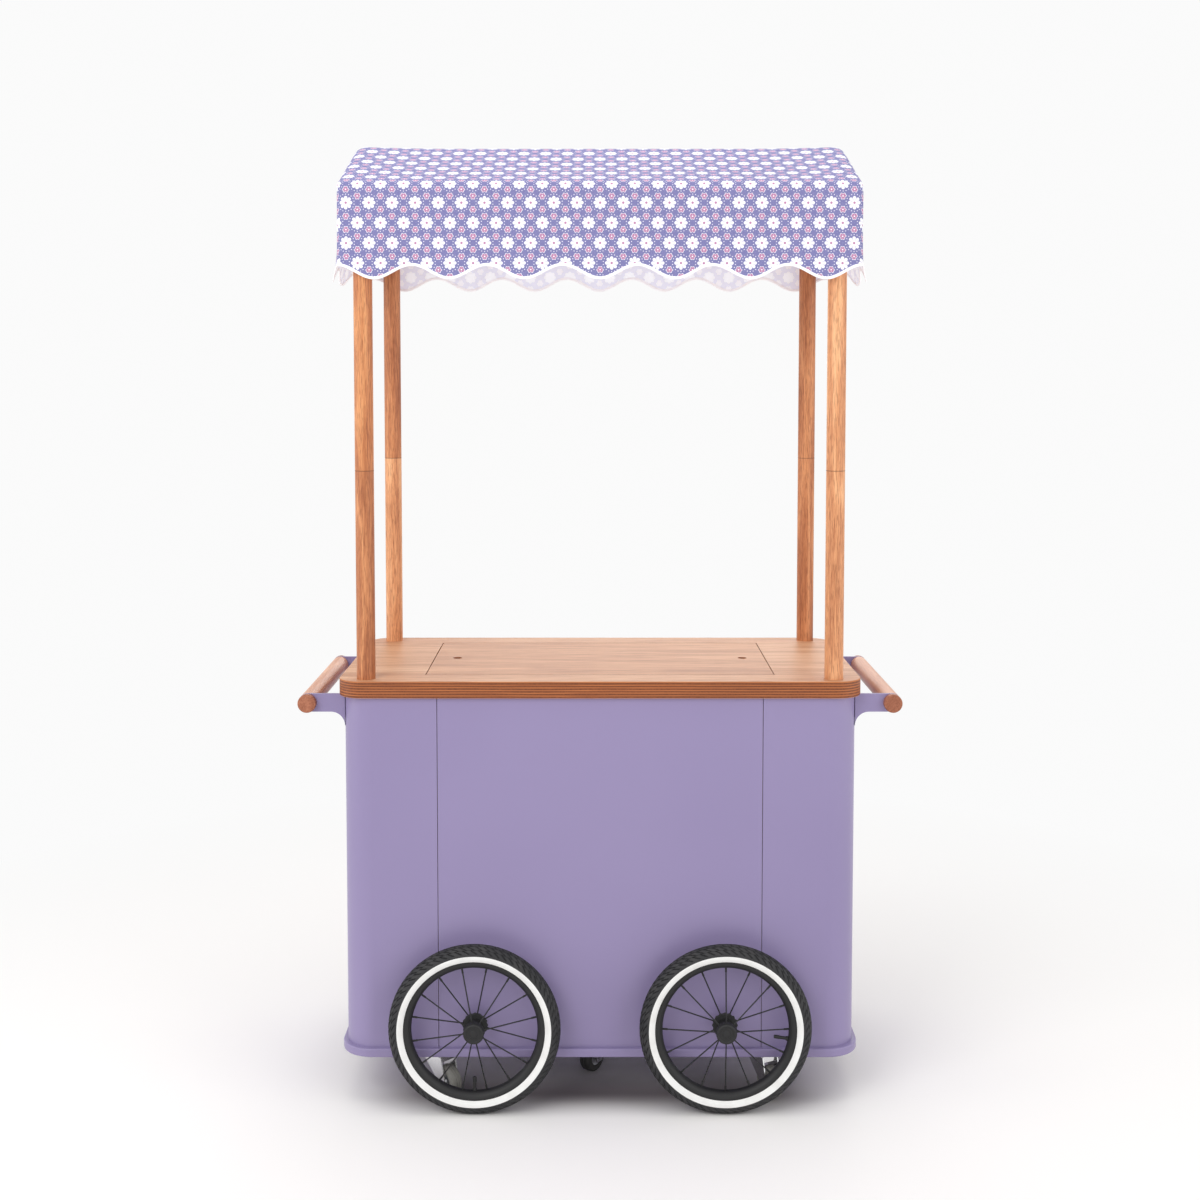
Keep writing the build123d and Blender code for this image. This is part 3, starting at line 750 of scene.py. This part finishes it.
wheelTurn = {  # spoke offset and valve angle
    "front_left": (0.5, -pi / 2),
    "front_right": (0.0, radians(-9)),
    "rear_left": (0.25, radians(70)),
    "rear_right": (0.0, radians(160)),
}
joints = {j["name"]: j for j in frame["joints"]}
for corner, (offset, valveAngle) in wheelTurn.items():
    centre = Vector(joints[f"{corner}_wheel_spin"]["pos_m"])
    out = Vector((0, -1 if centre.y < 0 else 1, 0))
    makeTyre(corner, centre, out)
    makeRim(corner, centre, out)
    makeHub(corner, centre, out, offset)
    makeValve(corner, centre, valveAngle)
print("large wheels made")

# Castor rollers and fittings
castorLook = {
    "radius": 0.0375,
    "half": 0.015,
    "pin": 0.0042,
    "core": 0.0215,
    "leg": 0.022,
    "nut": (0.0046, 0.0068),     # height and radius
    "raceLevel": 0.0985,
    "plate": 0.004,
    "boltReach": 0.031,
    "bolt": (0.0042, 0.0062),
    "washer": (0.0012, 0.0082),
}


def makeRoller(name, centre, axis, look=castorLook):
    # the centre roller, in the shade under the cart, gets the darker copy: painted shade
    rollerRubber = shadedCastorRubber if name == "centre" else castorRubber
    radius, half, core = look["radius"], look["half"], look["core"]
    tread = [(core, -half + 0.002), (core + 0.001, -half + 0.0008), (radius - 0.008, -half)]
    tread += [(radius - 0.003, -half + 0.0015), (radius - 0.0006, -half + 0.0045), (radius, -0.0055)]
    tread += [(radius, -0.0048), (radius - 0.0014, -0.0042), (radius - 0.0014, -0.0030), (radius, -0.0024)]
    tread += [(r, -a) for r, a in reversed(tread)]
    form = Form()
    form.lathe(tread, centre, axis, 96)
    hub = [(look["pin"], -half - 0.0005), (0.0085, -half - 0.0005), (0.0095, -half + 0.001)]
    hub += [(0.0105, -half + 0.004), (core - 0.003, -half + 0.004), (core, -half + 0.002)]
    hub += [(r, -a) for r, a in reversed(hub)]
    form.lathe(hub, centre, axis, 64, 1)
    form.piece(
        f"{name}CastorRoller", f"{name}_castor_roller", "castor_rubber", [rollerRubber, zinc],
        [f"{name}_castor_wheel"], sharp=32,
    )


def makeForkFittings(name, centre, axis, swivel, look=castorLook):
    # nuts on the pin's ends and the race round the top of the fork
    form, (height, radius) = Form(), look["nut"]
    for side in (-1, 1):
        start = centre + axis * side * look["leg"]
        form.rod(start, start + axis * side * height, radius, 6, 0, 0.0006)
    race = [(0.0245, 0.0), (0.0285, 0.0008), (0.0295, 0.003), (0.0285, 0.0056), (0.0245, 0.0062)]
    form.lathe(race, (swivel.x, swivel.y, look["raceLevel"]), (0, 0, 1), 64)
    form.piece(f"{name}ForkFittings", f"{name}_castor", "castor_chrome", [chrome])


def addPlateBolts(form, swivel, look=castorLook):
    # a bolt and its washer under each corner of a castor's plate
    top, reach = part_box("castor_plates")[1].z - look["plate"], look["boltReach"]
    for dx in (-reach, reach):
        for dy in (-reach, reach):
            place = Vector((swivel.x + dx, swivel.y + dy, top))
            form.rod(place, place - Vector((0, 0, look["bolt"][0])), look["bolt"][1], 6, 0, 0.0006)
            form.rod(place, place - Vector((0, 0, look["washer"][0])), look["washer"][1], 24)


plateBolts = Form()
for name in ("front_left", "front_right", "rear_left", "rear_right", "centre"):
    roll, swivel = joints[f"{name}_castor_roll"], Vector(joints[f"{name}_castor_swivel"]["pos_m"])
    centre, axis = Vector(roll["pos_m"]), Vector(roll["axis"])
    makeRoller(name, centre, axis)
    makeForkFittings(name, centre, axis, swivel)
    addPlateBolts(plateBolts, swivel)
plateBolts.piece("castorPlateBolts", "cabinet", "castor_chrome", [zinc])
print("castors made")

# Screws in the bracket feet
screwLook = {"head": 0.0048, "height": 0.0022, "faceX": 0.604, "reachY": 0.203, "levels": (0.90, 0.945)}


def makeBracketScrews(look=screwLook):
    form, head, height = Form(), look["head"], look["height"]
    dome = [(0.0, height), (head * 0.55, height * 0.85), (head * 0.9, height * 0.45), (head, 0.0), (0.0, 0.0)]
    for x in (-1, 1):
        for y in (-1, 1):
            for z in look["levels"]:
                form.lathe(dome, (x * look["faceX"], y * look["reachY"], z), (x, 0, 0), 24)
    form.piece("bracketScrews", "cabinet", "zinc_steel", [zinc])


makeBracketScrews()

# The dark line where an upper post stands on its lower post
jointLook = {"depth": 0.002, "proud": 0.0001, "half": 0.0005}


def makePostJoints(look=jointLook):
    form, half = Form(), look["half"]
    for corner in wheelTurn:
        low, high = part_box(f"{corner}_upper_post")
        middle, radius = (low + high) / 2, (high.x - low.x) / 2
        inner, outer = radius - look["depth"], radius + look["proud"]
        ring = [(inner, -half), (outer, -half), (outer, half), (inner, half)]
        form.lathe(ring, (middle.x, middle.y, low.z), (0, 0, 1), 64)
    form.piece("postJoints", "canopy", "stained_wood", [darkJoint])


makePostJoints()

# Canopy cover, one sewn sheet: roof, four valances with a scalloped hem, and the binding
roofLow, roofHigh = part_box("roof_panel")
hemLow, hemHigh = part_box("hem_binding")
canopyLook = {
    "halfLength": roofHigh.x,
    "halfDepth": roofHigh.y,
    "ridge": roofHigh.z + 0.0026,      # where the two slopes would meet
    "eaves": roofLow.z + 0.0022,
    "hemLow": hemLow.z,
    "hemHigh": hemHigh.z - 0.007,
    "ridgeRound": 0.030,
    "cell": 0.0078,
    "drops": 28,            # rows of cloth from the eaves to the hem
    "frontScallops": 7,
    "sideScallops": 3,
    "slopeSag": 0.0065,
    "ridgeSag": 0.0045,
    "ripple": 0.0022,
    "sideFlare": 0.034,
    "longFlare": 0.004,
    "fold": 0.0045,         # one at each scallop
    "wideWave": (4.2, 0.9, 0.006),    # how often along and down the wall, and how far in and out
    "narrowWave": (11.0, 1.6, 0.0018),
    "waveSeeds": {"front": 3.0, "rear": 11.0, "left": 19.0, "right": 27.0},
    "endRound": 0.030,
    "endDrop": 0.009,
    "thickness": 0.0011,
    "roundings": 7,
    "roundReach": 0.030,
    "roundShare": 0.6,
    "tapeHeight": 0.0066,
    "tapeHalf": 0.0014,
    "tapeOverlap": 0.0008,
}


def hemLevel(share, scallops, look=canopyLook):
    # height of the hem at a share of the valance's width
    wave = 0.5 + 0.5 * cos(2 * pi * share * scallops)
    return look["hemLow"] + (look["hemHigh"] - look["hemLow"]) * wave


def roofLevel(x, y, look=canopyLook):
    slope = (look["ridge"] - look["eaves"]) / look["halfDepth"]
    reach, share = abs(y), abs(y) / look["halfDepth"]
    lean = atan2(slope, 1)
    top = look["ridge"] - look["ridgeRound"] * (1 / cos(lean) - 1)
    if reach < look["ridgeRound"] * sin(lean):
        level = top - look["ridgeRound"] + sqrt(look["ridgeRound"] ** 2 - reach ** 2)
    else:
        level = look["ridge"] - slope * reach
    inward = look["halfLength"] - abs(x)
    along = sin(pi / 2 * min(1.0, inward / look["halfLength"] * 2.4))
    hang = sin(pi * min(1.0, share)) ** 0.8 * look["slopeSag"] + look["ridgeSag"] * (1 - share) ** 2
    ripple = noise.noise(Vector((x * 3.1, y * 5.0, 2.0))) * look["ripple"] * sin(pi * min(1.0, share))
    fall = max(0.0, 1 - inward / look["endRound"]) ** 2 * look["endDrop"] * (1 - share) ** 0.5
    return level - (hang + ripple) * along - fall


def makeCover(look=canopyLook):
    halfX, halfY = look["halfLength"], look["halfDepth"]
    columns, rows, drops = round(2 * halfX / look["cell"]), round(2 * halfY / look["cell"]), look["drops"]
    xs = [-halfX + 2 * halfX * i / columns for i in range(columns + 1)]
    ys = [-halfY + 2 * halfY * j / rows for j in range(rows + 1)]
    work = bmesh.new()
    cut = work.loops.layers.uv.new("cut")
    grid = {}

    def face(corners, flats):
        # flats are the corners' places on the flat cloth, in metres
        made = work.faces.new(corners)
        made.smooth = True
        for loop, flat in zip(made.loops, flats):
            loop[cut].uv = flat

    slopeStretch = hypot(1, (look["ridge"] - look["eaves"]) / halfY)
    for i, x in enumerate(xs):
        for j, y in enumerate(ys):
            grid[("roof", i, j)] = work.verts.new((x, y, roofLevel(x, y)))
    for i in range(columns):
        for j in range(rows):
            keys = [(i, j), (i + 1, j), (i + 1, j + 1), (i, j + 1)]
            face([grid[("roof", a, b)] for a, b in keys], [(xs[a], ys[b] * slopeStretch) for a, b in keys])

    def wave(kind, along, depth, seed):
        often, down, height = kind
        return noise.noise(Vector((along * often, depth * down, seed))) * height

    def valance(side, ends, scallops, count, width):
        # one hanging wall: ends gives its roof keys, side its outward direction
        flare = look["sideFlare"] if side in ("left", "right") else look["longFlare"]
        seed = look["waveSeeds"][side]
        for a in range(count + 1):
            share = a / count
            top = grid[("roof", *ends(a))].co
            foot = Vector((top.x, top.y, hemLevel(share, scallops)))
            middle = sin(pi * share)
            held = min(1.0, middle * 6)
            for d in range(1, drops + 1):
                depth, key = d / drops, wallKey(side, a, d, count)
                if key in grid:
                    continue
                flow = depth ** 2.2
                push = flare * flow * middle ** 0.8
                push += look["fold"] * flow * cos(2 * pi * share * scallops + pi) * middle ** 0.3
                push += wave(look["wideWave"], share * width, depth, seed) * (0.25 + depth) * held
                push += wave(look["narrowWave"], share * width, depth, seed + 5) * held
                grid[key] = work.verts.new(top.lerp(foot, depth) + outward[side] * push)
        for a in range(count):
            for d in range(drops):
                corners, flats = [], []
                for b, e in [(a, d), (a, d + 1), (a + 1, d + 1), (a + 1, d)]:
                    key = ("roof", *ends(b)) if e == 0 else wallKey(side, b, e, count)
                    corners.append(grid[key])
                    fallen = fallTo(side, ends(b), b / count, e / drops, scallops)
                    flats.append(((b / count - 0.5) * width, fallen))
                face(corners, flats)

    def fallTo(side, end, share, depth, scallops):
        # how far down the cloth a place is, so that the print runs on over the long eaves
        top = roofLevel(xs[end[0]], ys[end[1]])
        fallen = (top - hemLevel(share, scallops)) * depth
        if side in ("left", "right"):
            return top - fallen
        return (halfY * slopeStretch + fallen) * (-1 if side == "front" else 1)

    outward = {"front": Vector((0, -1, 0)), "rear": Vector((0, 1, 0)), "left": Vector((-1, 0, 0))}
    outward["right"] = Vector((1, 0, 0))
    meets = {"front": ("frontLeft", "frontRight"), "rear": ("rearLeft", "rearRight")}
    meets.update(left=("frontLeft", "rearLeft"), right=("frontRight", "rearRight"))

    def wallKey(side, a, d, count):
        # each of the four corners of the canopy is shared by two walls
        return (meets[side][a // count], d) if a in (0, count) else (side, a, d)

    valance("front", lambda a: (a, 0), look["frontScallops"], columns, 2 * halfX)
    valance("rear", lambda a: (a, rows), look["frontScallops"], columns, 2 * halfX)
    valance("left", lambda a: (0, a), look["sideScallops"], rows, 2 * halfY)
    valance("right", lambda a: (columns, a), look["sideScallops"], rows, 2 * halfY)

    # soften the sewn edges of the box
    work.verts.ensure_lookup_table()
    weight = {}
    for v in work.verts:
        x, y, z = v.co
        rise = abs(z - roofLevel(max(-halfX, min(halfX, x)), max(-halfY, min(halfY, y))))
        near = sorted((abs(halfX - abs(x)), abs(halfY - abs(y)), rise))[1]
        weight[v] = max(0.0, 1 - near / look["roundReach"])
    for unused in range(look["roundings"]):
        moved = {}
        for v in work.verts:
            if weight[v] <= 0 or v.is_boundary:
                continue
            around = [e.other_vert(v).co for e in v.link_edges]
            moved[v] = v.co.lerp(sum(around, Vector()) / len(around), look["roundShare"] * weight[v])
        for v, place in moved.items():
            v.co = place

    # the way round the hem, each place with its direction up the cloth
    hemPath = []
    for side, count in (("front", columns), ("right", rows), ("rear", columns), ("left", rows)):
        for a in range(count) if side in ("front", "right") else range(count, 0, -1):
            low, high = (grid[wallKey(side, a, d, count)].co for d in (drops, drops - 1))
            hemPath.append((low.copy(), (high - low).normalized()))
    bmesh.ops.recalc_face_normals(work, faces=work.faces)
    peak = max(work.faces, key=lambda f: f.calc_center_median().z)
    if peak.normal.z < 0:
        bmesh.ops.reverse_faces(work, faces=work.faces)
    mesh = bpy.data.meshes.new("canopyCover")
    work.to_mesh(mesh)
    work.free()
    mesh.materials.append(cotton)
    mesh.materials.append(cottonInside)
    cover = placed("canopyCover", mesh)
    shell = cover.modifiers.new("thickness", "SOLIDIFY")
    shell.thickness, shell.offset, shell.material_offset = look["thickness"], -1.0, 1
    shell.material_offset_rim = 1
    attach(cover, "canopy")
    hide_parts("roof_panel", "front_valance", "rear_valance", "left_valance", "right_valance")
    return cover, hemPath


def makeBinding(hemPath, look=canopyLook):
    # tape folded over the hem, as a flat closed section swept round it
    form, rings, count = Form(), [], len(hemPath)
    height, half = look["tapeHeight"], look["tapeHalf"]
    section = [(-0.5, 0.55), (-0.42, 0.95), (0.0, 1.05), (0.42, 0.95), (0.5, 0.55)]
    for i, (place, up) in enumerate(hemPath):
        along = (hemPath[(i + 1) % count][0] - hemPath[i - 1][0]).normalized()
        out = along.cross(up).normalized()
        up = out.cross(along).normalized()
        middle = place - out * look["thickness"] / 2 + up * (height / 2 - look["tapeOverlap"])
        ring = [middle + up * height * a + out * half * b for a, b in section]
        ring += [middle + up * height * a - out * half * b for a, b in reversed(section)]
        rings.append(ring)
    form.loft(rings)
    return form.piece("hemBinding", "canopy", "white_binding", [tape], ["hem_binding"], sharp=0)


cover, hemPath = makeCover()
binding = makeBinding(hemPath)
sideDrop = canopyLook["eaves"] - (canopyLook["hemLow"] + canopyLook["hemHigh"]) / 2
gableRise = roofHigh.z - canopyLook["eaves"]
slopeLength = hypot(canopyLook["halfDepth"], gableRise)
cutArea = 4 * canopyLook["halfLength"] * (slopeLength + sideDrop)
cutArea += 4 * canopyLook["halfDepth"] * (sideDrop + gableRise / 2)

# Floor, light and camera
stageLook = {
    "floorHalf": 30.0,
    "floorColour": srgb(250, 248, 246),
    "fadeStart": 0.9,      # where the floor begins to turn into the backdrop
    "fadeEnd": 2.6,
    "shadeColour": srgb(120, 113, 116),
    "shadeInner": (-0.15, 0.11),    # from the edge of the base, with the softness
    "shadeOuter": (0.01, 0.07),
    "shadeEnds": (-0.12, 0.11),
    "backdrop": 0.962,
    "ambient": 0.55,
}
lights = {  # place, level of the point it is turned to, size and power
    "keyLight": ((-2.6, -3.6, 3.8), 1.0, 3.0, 100.0),
    "fillLight": ((3.4, -3.0, 2.4), 1.0, 3.0, 46.0),
    "topLight": ((0.0, 0.3, 4.8), 1.0, 3.5, 60.0),
    "backLight": ((0.5, 4.0, 3.0), 1.2, 3.0, 30.0),
    "leftLight": ((-4.4, -0.9, 1.5), 1.1, 2.4, 34.0),
    "rightLight": ((4.4, -0.9, 1.5), 1.1, 2.4, 20.0),
}


def makeFloor(look=stageLook):
    shade = Shade("paleFloor")
    x, y, unused = shade.split(shade.place())
    fade = (x * x + y * y).power(0.5).spread(look["fadeStart"], look["fadeEnd"])
    # two bands of shade under the front and rear edge of the base, where most light reaches in
    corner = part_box("base_plate")[1]
    inwards = abs(y) - corner.y
    shaded = inwards.above(*look["shadeInner"]) * inwards.below(*look["shadeOuter"])
    shaded = shaded * (abs(x) - corner.x).below(*look["shadeEnds"])
    colour = shade.mix(shaded, look["floorColour"], look["shadeColour"])
    lit = shade.node(
        "ShaderNodeBsdfPrincipled", values={"Base Color": colour, "Roughness": 1.0, "Specular IOR Level": 0.0}
    )
    white = shade.node("ShaderNodeEmission", values={"Color": (1, 1, 1, 1), "Strength": look["backdrop"]})
    both = shade.node("ShaderNodeMixShader", values={0: fade, 1: lit, 2: white})
    shade.node("ShaderNodeOutputMaterial", values={"Surface": both})
    half = look["floorHalf"]
    mesh = bpy.data.meshes.new("floor")
    corners = [(-half, -half, 0), (half, -half, 0), (half, half, 0), (-half, half, 0)]
    mesh.from_pydata(corners, [], [(0, 1, 2, 3)])
    mesh.materials.append(shade.material)
    floor = placed("floor", mesh)


def makeWorld(look=stageLook):
    # the backdrop where it is seen straight or in a reflection, and a dimmer light everywhere else
    world = bpy.data.worlds.new("studio")
    bpy.context.scene.world = world
    world.use_nodes = True
    tree = world.node_tree
    tree.nodes.clear()
    rays = tree.nodes.new("ShaderNodeLightPath")
    seen = rays.outputs["Is Camera Ray"]
    for kind in ("Is Glossy Ray", "Is Transmission Ray"):
        either = tree.nodes.new("ShaderNodeMath")
        either.operation = "MAXIMUM"
        tree.links.new(seen, either.inputs[0])
        tree.links.new(rays.outputs[kind], either.inputs[1])
        seen = either.outputs[0]
    both = tree.nodes.new("ShaderNodeMixShader")
    tree.links.new(seen, both.inputs[0])
    for i, strength in ((1, look["ambient"]), (2, look["backdrop"])):
        background = tree.nodes.new("ShaderNodeBackground")
        background.inputs["Color"].default_value = (1, 1, 1, 1)
        background.inputs["Strength"].default_value = strength
        tree.links.new(background.outputs[0], both.inputs[i])
    out = tree.nodes.new("ShaderNodeOutputWorld")
    tree.links.new(both.outputs[0], out.inputs["Surface"])


def softBox(name, place, level, size, power):
    lamp = bpy.data.lights.new(name, "AREA")
    lamp.shape, lamp.size, lamp.energy = "SQUARE", size, power
    made = placed(name, lamp)
    made.location = place
    made.rotation_mode = "QUATERNION"
    made.rotation_quaternion = (Vector((0, 0, level)) - Vector(place)).to_track_quat("-Z", "Y")


cameraLook = {
    "place": (-0.0067, -3.9279, 1.7242),
    "tilt": 3.5,
    "lens": 47.671,
    "shiftX": 0.00238,
    "shiftY": -0.11309,
}


def makeCamera(look=cameraLook):
    camera = bpy.data.cameras.new("camera")
    camera.sensor_width, camera.lens = 36.0, look["lens"]
    camera.shift_x, camera.shift_y = look["shiftX"], look["shiftY"]
    made = placed("camera", camera)
    made.location = look["place"]
    made.rotation_euler = (radians(90 - look["tilt"]), 0, 0)
    bpy.context.scene.camera = made


makeFloor()
makeWorld()
for name, light in lights.items():
    softBox(name, *light)
makeCamera()
bpy.context.scene.view_settings.view_transform = "Standard"
print("stage made")
